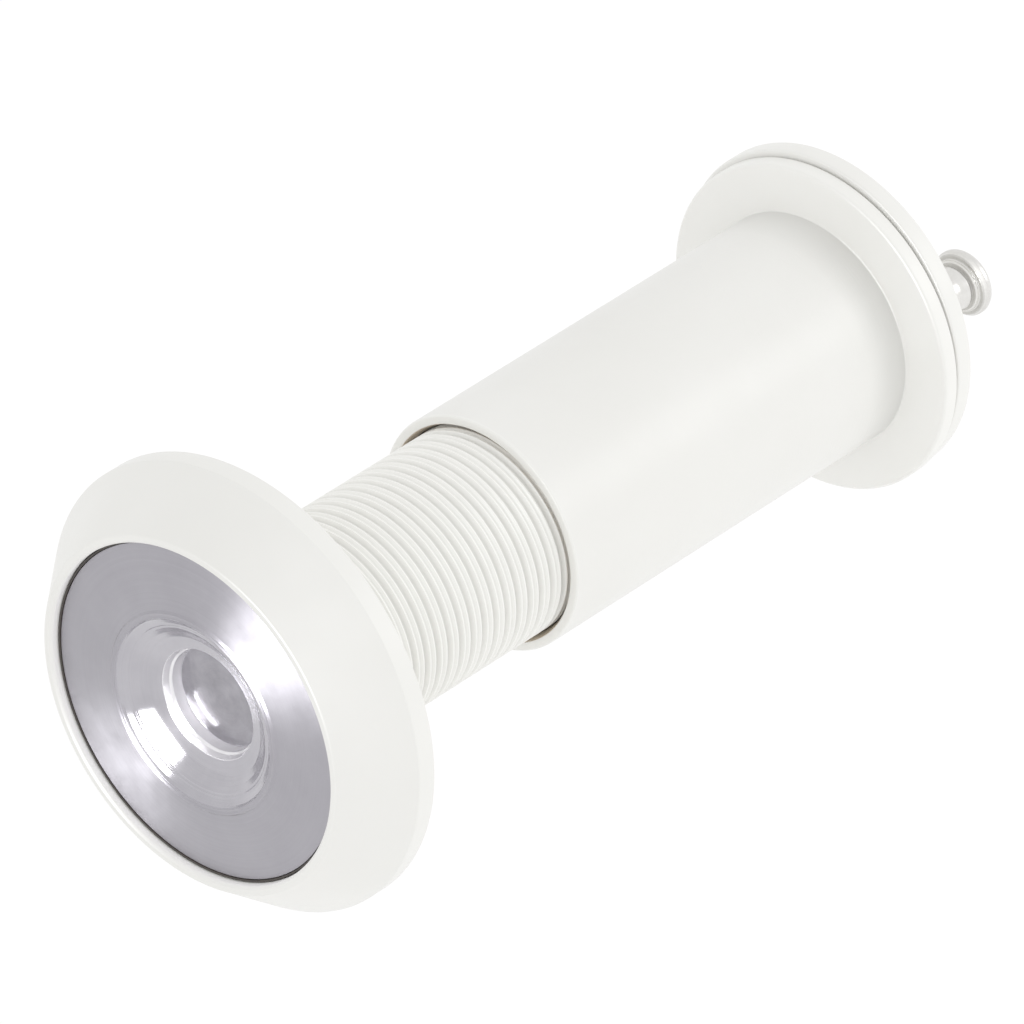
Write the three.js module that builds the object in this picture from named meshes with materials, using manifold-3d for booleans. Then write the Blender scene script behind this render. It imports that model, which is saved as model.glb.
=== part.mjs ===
import * as THREE from 'three';
import { mergeVertices, toCreasedNormals } from 'three/addons/utils/BufferGeometryUtils.js';
import Module from 'manifold-3d';

// Door viewer with a swinging privacy cover, in millimetres.
// The optical axis is Y: the street side is -Y and the room side is +Y, with +Z up.
// The origin is the centre of the bezel's back face, the face that rests on the door.

// Round counts: how many flat facets approximate one full turn
const BEZEL_FACETS = 64;
const TUBE_FACETS = 40;
const BORE_FACETS = 28;
const SMALL_FACETS = 16;
const KNOB_FACETS = 20;
const THREAD_FACETS = 24;

// Screw thread shared by the barrel and the sleeve, 28 threads per inch, right-hand
const THREAD_PITCH = 0.907;
const THREAD_CREST_RADIUS = 6.2;
const THREAD_ROOT_RADIUS = 5.78;
const THREAD_CREST_FLAT = 0.24;
const THREAD_FLANK = 0.24;
const THREAD_CLEARANCE = 0.12;
const THREAD_SPARE_TURNS = 3;

// Bezel, the conical head on the street side
const BEZEL_RADIUS = 13.2;
const BEZEL_RIM_FRONT = -1.2;
const BEZEL_BACK_BEVEL = 0.12;
const LIP_OUTER_RADIUS = 10.65;
const LIP_FRONT = -4.75;
const LIP_EDGE_DROP = 0.17;
const LIP_FLAT_RADIUS = 10.3;
const POCKET_RADIUS = 10.0;
const POCKET_FLOOR = -1.3;
const CUT_MARGIN = 2;

// Barrel tube and its stepped bore
const BARREL_END = 31.8;
const BARREL_END_CHAMFER = 0.6;
const BARREL_END_RADIUS = 5.5;
const BARREL_ENVELOPE_RADIUS = 6.6;
const LENS_BORE_RADIUS = 4.9;
const BAFFLE_BORE_RADIUS = 4.4;
const FRONT_STACK_SEAT = 8.0;
const RELAY_SEAT = 27.6;
const TUBE_START = -0.6;

// Optics held in the barrel
const REFLECTOR_FRONT = -3.2;
const REFLECTOR_INNER_RADIUS = 5.95;
const FRONT_GLASS_RADIUS = 9.8;
const FRONT_GLASS_EDGE = -4.2;
const BEAD_OUTER_RADIUS = 5.85;
const BEAD_INNER_RADIUS = 5.58;
const BEAD_FRONT = -4.5;
const BOWL_RIM_RADIUS = 4.9;
const BOWL_RIM_Y = -4.08;
const BOWL_MIDDLE_RADIUS = 4.4;
const BOWL_MIDDLE_Y = -3.7;
const BOWL_FLOOR_RADIUS = 3.25;
const BOWL_FLOOR_Y = -3.3;
const WELL_RADIUS = 3.05;
const WELL_RIM_Y = -2.85;
const WINDOW_RADIUS = 3.0;
const WINDOW_Y = -2.12;
const WINDOW_DIP = 0.04;
const BOSS_RADIUS = 5.85;
const BOSS_RECESS_RADIUS = 4.4;
const BOSS_RECESS_DEPTH = 0.25;
const SEAL_INNER_RADIUS = 9.84;
const SEAL_OUTER_RADIUS = 9.96;
const SEAL_FRONT = -4.24;
const LENS_RADIUS = 4.75;
const STACK_RING_FRONT = -1.0;
const SECOND_LENS_FRONT = 0.5;
const SECOND_LENS_BACK = 2.5;
const THIRD_LENS_FRONT = 5.5;
const SECOND_LENS_RIM = 0.95;
const SECOND_LENS_SAG = 0.7;
const THIRD_LENS_RIM = 0.75;
const THIRD_LENS_SAG = 0.6;
const STACK_RING_INNER_RADIUS = 3.9;
const SPACER_INNER_RADIUS = 4.1;
const BAFFLE_OUTER_RADIUS = 4.3;
const BAFFLE_INNER_RADIUS = 3.9;
const BAFFLE_START = 8.8;
const BAFFLE_STEP_RADIUS = 3.3;
const BAFFLE_STEP_LENGTH = 0.6;
const RELAY_LENS_BACK = 29.8;
const RELAY_LENS_RIM = 0.85;
const RELAY_LENS_SAG = 0.55;
const BARREL_RING_INNER_RADIUS = 4.0;
const BARREL_RING_BACK = 31.2;
const SPANNER_SLOT_WIDTH = 0.8;
const SPANNER_SLOT_DEPTH = 0.5;
const SLOT_OVERRUN = 0.5;

// Sleeve: smooth tube, inner thread near the mouth, and the flange on the room side
const SLEEVE_RADIUS = 7.0;
const SLEEVE_MOUTH = 18.2;
const MOUTH_BEVEL = 0.15;
const MOUTH_BORE_RADIUS = 6.45;
const MOUTH_BORE_END = 19.2;
const LEAD_IN_LENGTH = 0.8;
const SLEEVE_THREAD_CORE = 5.6;
const SLEEVE_THREAD_END = 26.4;
const SLEEVE_BORE_RADIUS = 6.45;
const EYE_WALL_FRONT = 42.4;
const EYE_SEAT = 43.2;
const EYE_WALL_APERTURE = 4.2;
const EYE_POCKET_RADIUS = 5.45;
const FLANGE_FRONT = 45.3;
const FLANGE_BACK = 46.3;
const FLANGE_RADIUS = 9.86;
const FLANGE_EDGE_ROUND = 0.25;
const SLEEVE_FILLET = 0.25;
const COIN_SLOT_WIDTH = 1.5;
const COIN_SLOT_DEPTH = 0.5;
const COIN_SLOT_END_RADIUS = 8.3;

// Eyepiece optics in the sleeve
const EYE_DISC_RADIUS = 5.3;
const EYE_STOP_HOLE = 3.5;
const EYE_STOP_BACK = 43.4;
const EYE_SEAL_INNER_RADIUS = 4.5;
const EYE_SEAL_BACK = 43.7;
const EYE_LENS_BACK = 45.2;
const EYE_LENS_RIM = 1.1;
const EYE_LENS_FRONT_SAG = 0.25;
const EYE_LENS_BACK_SAG = 0.6;
const EYE_RING_BACK = 46.1;
const EYE_RING_INNER_RADIUS = 4.35;
const EYE_RING_OUTER_RADIUS = 5.35;

// Privacy cover, its pivot rivet and its knob
const COVER_RADIUS = 9.93;
const COVER_FRONT = 46.42;
const COVER_BACK = 47.6;
const COVER_EDGE_ROUND = 0.2;
const PIVOT_ANGLE = THREE.MathUtils.degToRad(202);
const PIVOT_DISTANCE = 8.2;
const COVER_SWING = THREE.MathUtils.degToRad(2);
const RIVET_RADIUS = 0.6;
const RIVET_HOLE_RADIUS = 0.7;
const RIVET_TAIL_RADIUS = 1.0;
const RIVET_TAIL_DEPTH = 0.35;
const RIVET_TAIL_INSET = 0.02;
const RIVET_TAIL_CLEARANCE = 0.1;
const RIVET_HEAD_RADIUS = 1.5;
const RIVET_HEAD_RIM = 0.25;
const RIVET_HEAD_DOME = 0.5;
const WASHER_RADIUS = 1.6;
const SPRING_WASHER_BACK = 47.85;
const KNOB_DISTANCE = 7.3;
const KNOB_SPIGOT_RADIUS = 0.8;
const KNOB_SPIGOT_INSET = 0.1;
const KNOB_HOLE_CLEARANCE = 0.02;
const KNOB_NECK_RADIUS = 0.95;
const KNOB_FOOT_RADIUS = 1.15;
const KNOB_FOOT_TOP = 47.9;
const KNOB_NECK_LOW = 48.2;
const KNOB_NECK_HIGH = 49.9;
const KNOB_STEP_RADIUS = 1.07;
const KNOB_STEP_Y = 50.2;
const KNOB_FLARE_RADIUS = 1.53;
const KNOB_FLARE_Y = 50.45;
const KNOB_HEAD_RADIUS = 1.98;
const KNOB_RIM_LOW = 50.6;
const KNOB_RIM_HIGH = 50.95;
const KNOB_CROWN_RADIUS = 1.75;
const KNOB_CROWN_Y = 51.1;
const KNOB_CROWN_RISE = 0.35;

const ROUND_STEPS = 2;
const DOME_STEPS = 3;
const CREASE_ANGLE = THREE.MathUtils.degToRad(25);

const wasm = await Module();
wasm.setup();

// ---------- materials ----------

function whitePaint() {
  return new THREE.MeshStandardMaterial({ color: 0xe9e8e4, roughness: 0.42, metalness: 0.0 });
}

function opticalGlass() {
  return new THREE.MeshStandardMaterial({ color: 0xb9b9c2, roughness: 0.05, metalness: 0.1 });
}

function turnedMirror() {
  return new THREE.MeshStandardMaterial({ color: 0xacaab2, roughness: 0.25, metalness: 1.0 });
}

function blackAnodised() {
  return new THREE.MeshStandardMaterial({ color: 0x1c1b1a, roughness: 0.7, metalness: 0.3 });
}

function brightNickel() {
  return new THREE.MeshStandardMaterial({ color: 0xd8d6d0, roughness: 0.18, metalness: 1.0 });
}

function sealRubber() {
  return new THREE.MeshStandardMaterial({ color: 0x241d18, roughness: 0.85, metalness: 0.0 });
}

function washerNylon() {
  return new THREE.MeshStandardMaterial({ color: 0xd9d3c6, roughness: 0.6, metalness: 0.0 });
}

// ---------- shared geometry helpers ----------

// Solid of revolution about Y from [radius, y] corners listed with rising y on the outside
function turned(profile, facets) {
  const points = profile.map(([radius, y]) => new THREE.Vector2(radius, y));
  return new THREE.LatheGeometry(points, facets);
}

// Closed rectangular section between two radii and two heights
function ringProfile(inner, outer, low, high) {
  return [[inner, low], [outer, low], [outer, high], [inner, high], [inner, low]];
}

// Corners of a shallow dome from the given radius to the axis, apex offset by sag
function domeCorners(radius, edgeY, sag) {
  const sphere = (radius * radius + sag * sag) / (2 * Math.abs(sag));
  const corners = [];
  for (let step = 0; step <= DOME_STEPS; step += 1) {
    const r = radius * (1 - step / DOME_STEPS);
    const rise = Math.sqrt(sphere * sphere - r * r) - (sphere - Math.abs(sag));
    corners.push([r, edgeY + Math.sign(sag) * rise]);
  }
  return corners;
}

// Lens disc with a flat rim: sags are signed along Y for the low face and the high face
function lensProfile(radius, rim, low, high, lowSag, highSag) {
  const clear = radius - rim;
  const lowFace = domeCorners(clear, low, lowSag).reverse();
  const highFace = domeCorners(clear, high, highSag);
  return [...lowFace, [radius, low], [radius, high], ...highFace];
}

// Quarter-round corners between two points on a section, centred at (centreR, centreY)
function roundCorners(centreR, centreY, radius, fromAngle, toAngle) {
  const corners = [];
  for (let step = 0; step <= ROUND_STEPS; step += 1) {
    const angle = fromAngle + (toAngle - fromAngle) * (step / ROUND_STEPS);
    corners.push([centreR + radius * Math.cos(angle), centreY + radius * Math.sin(angle)]);
  }
  return corners;
}

function toSolid(geometry) {
  const bare = geometry.clone();
  bare.deleteAttribute('normal');
  bare.deleteAttribute('uv');
  const merged = mergeVertices(bare, 1e-4);
  const mesh = new wasm.Mesh({
    numProp: 3,
    vertProperties: new Float32Array(merged.attributes.position.array),
    triVerts: new Uint32Array(merged.index.array),
  });
  return new wasm.Manifold(mesh);
}

function toGeometry(solid) {
  const mesh = solid.getMesh();
  const geometry = new THREE.BufferGeometry();
  geometry.setAttribute('position', new THREE.BufferAttribute(new Float32Array(mesh.vertProperties), 3));
  geometry.setIndex(new THREE.BufferAttribute(new Uint32Array(mesh.triVerts), 1));
  return toCreasedNormals(geometry, CREASE_ANGLE);
}

function namedMesh(name, geometry, material) {
  const mesh = new THREE.Mesh(geometry, material);
  mesh.name = name;
  return mesh;
}

// Right-hand threaded rod along Y. Its side is one spiral strip, closed by a fan at each end.
function threadedRod(clearance, yStart, turns) {
  const crest = THREAD_CREST_RADIUS + clearance;
  const root = THREAD_ROOT_RADIUS + clearance;
  const corners = [
    [crest, 0],
    [crest, THREAD_CREST_FLAT],
    [root, THREAD_CREST_FLAT + THREAD_FLANK],
    [root, THREAD_PITCH - THREAD_FLANK],
  ];
  const firstTurn = Math.floor(yStart / THREAD_PITCH);
  const rows = turns * corners.length + 1;
  const columns = THREAD_FACETS + 1;
  const positions = [];
  for (let row = 0; row < rows; row += 1) {
    const [radius, rise] = corners[row % corners.length];
    const turn = firstTurn + Math.floor(row / corners.length);
    for (let column = 0; column < columns; column += 1) {
      const share = column / THREAD_FACETS;
      const angle = share * 2 * Math.PI;
      const y = (turn + share) * THREAD_PITCH + rise;
      positions.push(radius * Math.sin(angle), y, radius * Math.cos(angle));
    }
  }
  const vertex = (row, column) => row * columns + column;
  const lowHub = rows * columns;
  const highHub = lowHub + 1;
  positions.push(0, firstTurn * THREAD_PITCH, 0);
  positions.push(0, (firstTurn + turns + 1) * THREAD_PITCH, 0);
  const triangles = [];
  for (let row = 0; row < rows - 1; row += 1) {
    for (let column = 0; column < THREAD_FACETS; column += 1) {
      const a = vertex(row, column);
      const b = vertex(row, column + 1);
      const c = vertex(row + 1, column + 1);
      const d = vertex(row + 1, column);
      triangles.push(a, b, c, a, c, d);
    }
  }
  const last = rows - 1;
  for (let column = 0; column < THREAD_FACETS; column += 1) {
    triangles.push(lowHub, vertex(0, column + 1), vertex(0, column));
    triangles.push(highHub, vertex(last, column), vertex(last, column + 1));
  }
  for (let row = 0; row < corners.length; row += 1) {
    triangles.push(lowHub, vertex(row, 0), vertex(row + 1, 0));
    triangles.push(highHub, vertex(last - row, THREAD_FACETS), vertex(last - row - 1, THREAD_FACETS));
  }
  const geometry = new THREE.BufferGeometry();
  geometry.setAttribute('position', new THREE.BufferAttribute(new Float32Array(positions), 3));
  geometry.setIndex(triangles);
  return toSolid(geometry);
}

// Axis-aligned box cutter, turned about Y and centred at a radius from the axis
function slotCutter(width, depth, innerRadius, outerRadius, faceY, angle) {
  const length = outerRadius - innerRadius;
  const box = new THREE.BoxGeometry(length, depth * 2, width);
  box.translate((innerRadius + outerRadius) / 2, faceY, 0);
  box.rotateY(-angle);
  return toSolid(box);
}

// Retaining ring with two spanner slots across its open face
function slottedRing(inner, outer, low, high, slotFaceY) {
  let ring = toSolid(turned(ringProfile(inner, outer, low, high), BORE_FACETS));
  for (const angle of [0, Math.PI]) {
    const slot = slotCutter(
      SPANNER_SLOT_WIDTH, SPANNER_SLOT_DEPTH, inner - SLOT_OVERRUN, outer + SLOT_OVERRUN, slotFaceY, angle);
    ring = ring.subtract(slot);
  }
  return toGeometry(ring);
}

// ---------- barrel side ----------

function outerBarrel() {
  const bezel = toSolid(turned([
    [0, LIP_FRONT],
    [LIP_FLAT_RADIUS, LIP_FRONT],
    [LIP_OUTER_RADIUS, LIP_FRONT + LIP_EDGE_DROP],
    [BEZEL_RADIUS, BEZEL_RIM_FRONT],
    [BEZEL_RADIUS, -BEZEL_BACK_BEVEL],
    [BEZEL_RADIUS - BEZEL_BACK_BEVEL, 0],
    [0, 0],
  ], BEZEL_FACETS));
  const envelope = toSolid(turned([
    [0, TUBE_START],
    [BARREL_ENVELOPE_RADIUS, TUBE_START],
    [BARREL_ENVELOPE_RADIUS, BARREL_END - BARREL_END_CHAMFER],
    [BARREL_END_RADIUS, BARREL_END],
    [0, BARREL_END],
  ], THREAD_FACETS));
  const turns = Math.ceil(BARREL_END / THREAD_PITCH) + THREAD_SPARE_TURNS;
  const tube = threadedRod(0, TUBE_START - 2 * THREAD_PITCH, turns).intersect(envelope);
  const pocket = toSolid(turned([
    [0, LIP_FRONT - CUT_MARGIN],
    [POCKET_RADIUS, LIP_FRONT - CUT_MARGIN],
    [POCKET_RADIUS, POCKET_FLOOR],
    [0, POCKET_FLOOR],
  ], BEZEL_FACETS));
  const bore = toSolid(turned([
    [0, POCKET_FLOOR - CUT_MARGIN],
    [LENS_BORE_RADIUS, POCKET_FLOOR - CUT_MARGIN],
    [LENS_BORE_RADIUS, FRONT_STACK_SEAT],
    [BAFFLE_BORE_RADIUS, FRONT_STACK_SEAT],
    [BAFFLE_BORE_RADIUS, RELAY_SEAT],
    [LENS_BORE_RADIUS, RELAY_SEAT],
    [LENS_BORE_RADIUS, BARREL_END + CUT_MARGIN],
    [0, BARREL_END + CUT_MARGIN],
  ], BORE_FACETS));
  const solid = bezel.add(tube).subtract(pocket).subtract(bore);
  return namedMesh('outer_barrel', toGeometry(solid), whitePaint());
}

function frontSealRing() {
  const profile = ringProfile(SEAL_INNER_RADIUS, SEAL_OUTER_RADIUS, SEAL_FRONT, POCKET_FLOOR);
  return namedMesh('front_seal_ring', turned(profile, BEZEL_FACETS), sealRubber());
}

// Flanged glass: a stepped bowl in front with a small window at its floor, a boss behind
function frontLens() {
  const profile = [
    [0, WINDOW_Y + WINDOW_DIP],
    [WINDOW_RADIUS, WINDOW_Y],
    [WELL_RADIUS, WELL_RIM_Y],
    [BOWL_FLOOR_RADIUS, BOWL_FLOOR_Y],
    [BOWL_MIDDLE_RADIUS, BOWL_MIDDLE_Y],
    [BOWL_RIM_RADIUS, BOWL_RIM_Y],
    [BEAD_INNER_RADIUS, BEAD_FRONT],
    [BEAD_OUTER_RADIUS, BEAD_FRONT],
    [FRONT_GLASS_RADIUS, FRONT_GLASS_EDGE],
    [FRONT_GLASS_RADIUS, REFLECTOR_FRONT],
    [BOSS_RADIUS, REFLECTOR_FRONT],
    [BOSS_RADIUS, POCKET_FLOOR],
    ...domeCorners(BOSS_RECESS_RADIUS, POCKET_FLOOR, -BOSS_RECESS_DEPTH),
  ];
  return namedMesh('front_lens', turned(profile, BEZEL_FACETS), opticalGlass());
}

function reflectorRing() {
  const profile = ringProfile(REFLECTOR_INNER_RADIUS, FRONT_GLASS_RADIUS, REFLECTOR_FRONT, POCKET_FLOOR);
  return namedMesh('reflector_ring', turned(profile, TUBE_FACETS), turnedMirror());
}

function stackRetainingRing() {
  const geometry = slottedRing(
    STACK_RING_INNER_RADIUS, LENS_RADIUS, STACK_RING_FRONT, SECOND_LENS_FRONT, STACK_RING_FRONT);
  return namedMesh('stack_retaining_ring', geometry, turnedMirror());
}

function secondLens() {
  const profile = lensProfile(
    LENS_RADIUS, SECOND_LENS_RIM, SECOND_LENS_FRONT, SECOND_LENS_BACK,
    SECOND_LENS_SAG, -SECOND_LENS_SAG);
  return namedMesh('second_lens', turned(profile, BORE_FACETS), opticalGlass());
}

function lensSpacer() {
  const profile = ringProfile(SPACER_INNER_RADIUS, LENS_RADIUS, SECOND_LENS_BACK, THIRD_LENS_FRONT);
  return namedMesh('lens_spacer', turned(profile, BORE_FACETS), blackAnodised());
}

function thirdLens() {
  const profile = lensProfile(
    LENS_RADIUS, THIRD_LENS_RIM, THIRD_LENS_FRONT, FRONT_STACK_SEAT,
    -THIRD_LENS_SAG, THIRD_LENS_SAG);
  return namedMesh('third_lens', turned(profile, BORE_FACETS), opticalGlass());
}

// Black tube between the lens groups, with an inward lip as a field stop at its far end
function lightBaffle() {
  const profile = [
    [BAFFLE_INNER_RADIUS, BAFFLE_START],
    [BAFFLE_OUTER_RADIUS, BAFFLE_START],
    [BAFFLE_OUTER_RADIUS, RELAY_SEAT],
    [BAFFLE_STEP_RADIUS, RELAY_SEAT],
    [BAFFLE_STEP_RADIUS, RELAY_SEAT - BAFFLE_STEP_LENGTH],
    [BAFFLE_INNER_RADIUS, RELAY_SEAT - BAFFLE_STEP_LENGTH],
    [BAFFLE_INNER_RADIUS, BAFFLE_START],
  ];
  return namedMesh('light_baffle', turned(profile, BORE_FACETS), blackAnodised());
}

function relayLens() {
  const profile = lensProfile(
    LENS_RADIUS, RELAY_LENS_RIM, RELAY_SEAT, RELAY_LENS_BACK,
    RELAY_LENS_SAG, RELAY_LENS_SAG);
  return namedMesh('relay_lens', turned(profile, BORE_FACETS), opticalGlass());
}

function barrelRetainingRing() {
  const geometry = slottedRing(
    BARREL_RING_INNER_RADIUS, LENS_RADIUS, RELAY_LENS_BACK, BARREL_RING_BACK, BARREL_RING_BACK);
  return namedMesh('barrel_retaining_ring', geometry, blackAnodised());
}

// ---------- sleeve side ----------

function pivotX() {
  return PIVOT_DISTANCE * Math.cos(PIVOT_ANGLE);
}

function pivotZ() {
  return PIVOT_DISTANCE * Math.sin(PIVOT_ANGLE);
}

function sleeveBlank() {
  const edge = FLANGE_RADIUS - FLANGE_EDGE_ROUND;
  return toSolid(turned([
    [0, SLEEVE_MOUTH],
    [SLEEVE_RADIUS - MOUTH_BEVEL, SLEEVE_MOUTH],
    [SLEEVE_RADIUS, SLEEVE_MOUTH + MOUTH_BEVEL],
    ...roundCorners(
      SLEEVE_RADIUS + SLEEVE_FILLET, FLANGE_FRONT - SLEEVE_FILLET, SLEEVE_FILLET, Math.PI, Math.PI / 2),
    ...roundCorners(edge, FLANGE_FRONT + FLANGE_EDGE_ROUND, FLANGE_EDGE_ROUND, -Math.PI / 2, 0),
    [FLANGE_RADIUS, FLANGE_BACK],
    [0, FLANGE_BACK],
  ], TUBE_FACETS));
}

function sleeveBore() {
  return toSolid(turned([
    [0, SLEEVE_MOUTH - CUT_MARGIN],
    [MOUTH_BORE_RADIUS + MOUTH_BEVEL, SLEEVE_MOUTH - CUT_MARGIN],
    [MOUTH_BORE_RADIUS + MOUTH_BEVEL, SLEEVE_MOUTH],
    [MOUTH_BORE_RADIUS, SLEEVE_MOUTH + MOUTH_BEVEL],
    [MOUTH_BORE_RADIUS, MOUTH_BORE_END],
    [SLEEVE_THREAD_CORE, MOUTH_BORE_END + LEAD_IN_LENGTH],
    [SLEEVE_THREAD_CORE, SLEEVE_THREAD_END - LEAD_IN_LENGTH],
    [SLEEVE_BORE_RADIUS, SLEEVE_THREAD_END],
    [SLEEVE_BORE_RADIUS, EYE_WALL_FRONT],
    [EYE_WALL_APERTURE, EYE_WALL_FRONT],
    [EYE_WALL_APERTURE, EYE_SEAT],
    [EYE_POCKET_RADIUS, EYE_SEAT],
    [EYE_POCKET_RADIUS, FLANGE_BACK + CUT_MARGIN],
    [0, FLANGE_BACK + CUT_MARGIN],
  ], TUBE_FACETS));
}

function rivetHole() {
  const hole = turned([
    [0, FLANGE_FRONT - CUT_MARGIN],
    [RIVET_TAIL_RADIUS + RIVET_TAIL_CLEARANCE, FLANGE_FRONT - CUT_MARGIN],
    [RIVET_TAIL_RADIUS + RIVET_TAIL_CLEARANCE, FLANGE_FRONT],
    [RIVET_HOLE_RADIUS, FLANGE_FRONT + RIVET_TAIL_DEPTH],
    [RIVET_HOLE_RADIUS, FLANGE_BACK + CUT_MARGIN],
    [0, FLANGE_BACK + CUT_MARGIN],
  ], SMALL_FACETS);
  hole.translate(pivotX(), 0, pivotZ());
  return toSolid(hole);
}

function sleeve() {
  const threadTurns = Math.ceil((SLEEVE_THREAD_END - SLEEVE_MOUTH) / THREAD_PITCH) + THREAD_SPARE_TURNS;
  let solid = sleeveBlank().subtract(sleeveBore());
  solid = solid.subtract(threadedRod(THREAD_CLEARANCE, SLEEVE_MOUTH - THREAD_PITCH, threadTurns));
  solid = solid.subtract(rivetHole());
  for (const side of [-1, 1]) {
    const angle = PIVOT_ANGLE + side * Math.PI / 2;
    const slot = slotCutter(
      COIN_SLOT_WIDTH, COIN_SLOT_DEPTH, EYE_WALL_APERTURE, COIN_SLOT_END_RADIUS, FLANGE_BACK, angle);
    solid = solid.subtract(slot);
  }
  return namedMesh('sleeve', toGeometry(solid), whitePaint());
}

function eyepieceStop() {
  const profile = ringProfile(EYE_STOP_HOLE, EYE_DISC_RADIUS, EYE_SEAT, EYE_STOP_BACK);
  return namedMesh('eyepiece_stop', turned(profile, BORE_FACETS), blackAnodised());
}

function eyepieceSeal() {
  const profile = ringProfile(EYE_SEAL_INNER_RADIUS, EYE_DISC_RADIUS, EYE_STOP_BACK, EYE_SEAL_BACK);
  return namedMesh('eyepiece_seal', turned(profile, BORE_FACETS), sealRubber());
}

function eyepieceLens() {
  const profile = lensProfile(
    EYE_DISC_RADIUS, EYE_LENS_RIM, EYE_SEAL_BACK, EYE_LENS_BACK, -EYE_LENS_FRONT_SAG, EYE_LENS_BACK_SAG);
  return namedMesh('eyepiece_lens', turned(profile, BORE_FACETS), opticalGlass());
}

function eyepieceRetainingRing() {
  const geometry = slottedRing(
    EYE_RING_INNER_RADIUS, EYE_RING_OUTER_RADIUS, EYE_LENS_BACK, EYE_RING_BACK, EYE_RING_BACK);
  return namedMesh('eyepiece_retaining_ring', geometry, blackAnodised());
}

// ---------- privacy cover and its pivot ----------

function pivotRivet() {
  const tailFace = FLANGE_FRONT + RIVET_TAIL_INSET;
  const geometry = turned([
    [0, tailFace],
    [RIVET_TAIL_RADIUS, tailFace],
    [RIVET_RADIUS, FLANGE_FRONT + RIVET_TAIL_DEPTH],
    [RIVET_RADIUS, SPRING_WASHER_BACK],
    [RIVET_HEAD_RADIUS, SPRING_WASHER_BACK],
    ...domeCorners(RIVET_HEAD_RADIUS, SPRING_WASHER_BACK + RIVET_HEAD_RIM, RIVET_HEAD_DOME),
  ], SMALL_FACETS);
  const mesh = namedMesh('pivot_rivet', geometry, brightNickel());
  mesh.position.set(pivotX(), 0, pivotZ());
  return mesh;
}

function frictionWasher() {
  const profile = ringProfile(RIVET_HOLE_RADIUS, WASHER_RADIUS, FLANGE_BACK, COVER_FRONT);
  const mesh = namedMesh('pivot_friction_washer', turned(profile, SMALL_FACETS), washerNylon());
  mesh.position.set(pivotX(), 0, pivotZ());
  return mesh;
}

function springWasher() {
  const profile = ringProfile(RIVET_HOLE_RADIUS, WASHER_RADIUS, COVER_BACK, SPRING_WASHER_BACK);
  const mesh = namedMesh('pivot_spring_washer', turned(profile, SMALL_FACETS), brightNickel());
  mesh.position.set(pivotX(), 0, pivotZ());
  return mesh;
}

// Radial place of a point on the cover, measured from the pivot rivet
function fromPivot(distanceBeyondCentre) {
  const reach = PIVOT_DISTANCE + distanceBeyondCentre;
  return new THREE.Vector3(-reach * Math.cos(PIVOT_ANGLE), 0, -reach * Math.sin(PIVOT_ANGLE));
}

function privacyCover() {
  const edge = COVER_RADIUS - COVER_EDGE_ROUND;
  const disc = turned([
    [0, COVER_FRONT],
    ...roundCorners(edge, COVER_FRONT + COVER_EDGE_ROUND, COVER_EDGE_ROUND, -Math.PI / 2, 0),
    ...roundCorners(edge, COVER_BACK - COVER_EDGE_ROUND, COVER_EDGE_ROUND, 0, Math.PI / 2),
    [0, COVER_BACK],
  ], BEZEL_FACETS);
  const centre = fromPivot(0);
  disc.translate(centre.x, 0, centre.z);
  const holeProfile = (radius) => [
    [0, COVER_FRONT - CUT_MARGIN],
    [radius, COVER_FRONT - CUT_MARGIN],
    [radius, COVER_BACK + CUT_MARGIN],
    [0, COVER_BACK + CUT_MARGIN],
  ];
  const rivetClearance = turned(holeProfile(RIVET_HOLE_RADIUS), SMALL_FACETS);
  const knobHole = turned(holeProfile(KNOB_SPIGOT_RADIUS + KNOB_HOLE_CLEARANCE), KNOB_FACETS);
  const knobPlace = fromPivot(KNOB_DISTANCE);
  knobHole.translate(knobPlace.x, 0, knobPlace.z);
  const solid = toSolid(disc).subtract(toSolid(rivetClearance)).subtract(toSolid(knobHole));
  return namedMesh('privacy_cover', toGeometry(solid), whitePaint());
}

function coverKnob() {
  const geometry = turned([
    [0, COVER_FRONT + KNOB_SPIGOT_INSET],
    [KNOB_SPIGOT_RADIUS, COVER_FRONT + KNOB_SPIGOT_INSET],
    [KNOB_SPIGOT_RADIUS, COVER_BACK],
    [KNOB_FOOT_RADIUS, COVER_BACK],
    [KNOB_FOOT_RADIUS, KNOB_FOOT_TOP],
    [KNOB_NECK_RADIUS, KNOB_NECK_LOW],
    [KNOB_NECK_RADIUS, KNOB_NECK_HIGH],
    [KNOB_STEP_RADIUS, KNOB_STEP_Y],
    [KNOB_FLARE_RADIUS, KNOB_FLARE_Y],
    [KNOB_HEAD_RADIUS, KNOB_RIM_LOW],
    [KNOB_HEAD_RADIUS, KNOB_RIM_HIGH],
    ...domeCorners(KNOB_CROWN_RADIUS, KNOB_CROWN_Y, KNOB_CROWN_RISE),
  ], KNOB_FACETS);
  const mesh = namedMesh('cover_knob', geometry, brightNickel());
  mesh.position.copy(fromPivot(KNOB_DISTANCE));
  return mesh;
}

function coverAssembly() {
  const cover = new THREE.Group();
  cover.name = 'cover_group';
  cover.position.set(pivotX(), 0, pivotZ());
  cover.rotation.y = -COVER_SWING;
  cover.add(privacyCover());
  cover.add(coverKnob());
  return cover;
}

const group = new THREE.Group();
group.name = 'door_viewer';
group.add(outerBarrel());
group.add(frontSealRing());
group.add(frontLens());
group.add(reflectorRing());
group.add(stackRetainingRing());
group.add(secondLens());
group.add(lensSpacer());
group.add(thirdLens());
group.add(lightBaffle());
group.add(relayLens());
group.add(barrelRetainingRing());
group.add(sleeve());
group.add(eyepieceStop());
group.add(eyepieceSeal());
group.add(eyepieceLens());
group.add(eyepieceRetainingRing());
group.add(pivotRivet());
group.add(frictionWasher());
group.add(springWasher());
group.add(coverAssembly());

export default group;
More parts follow.
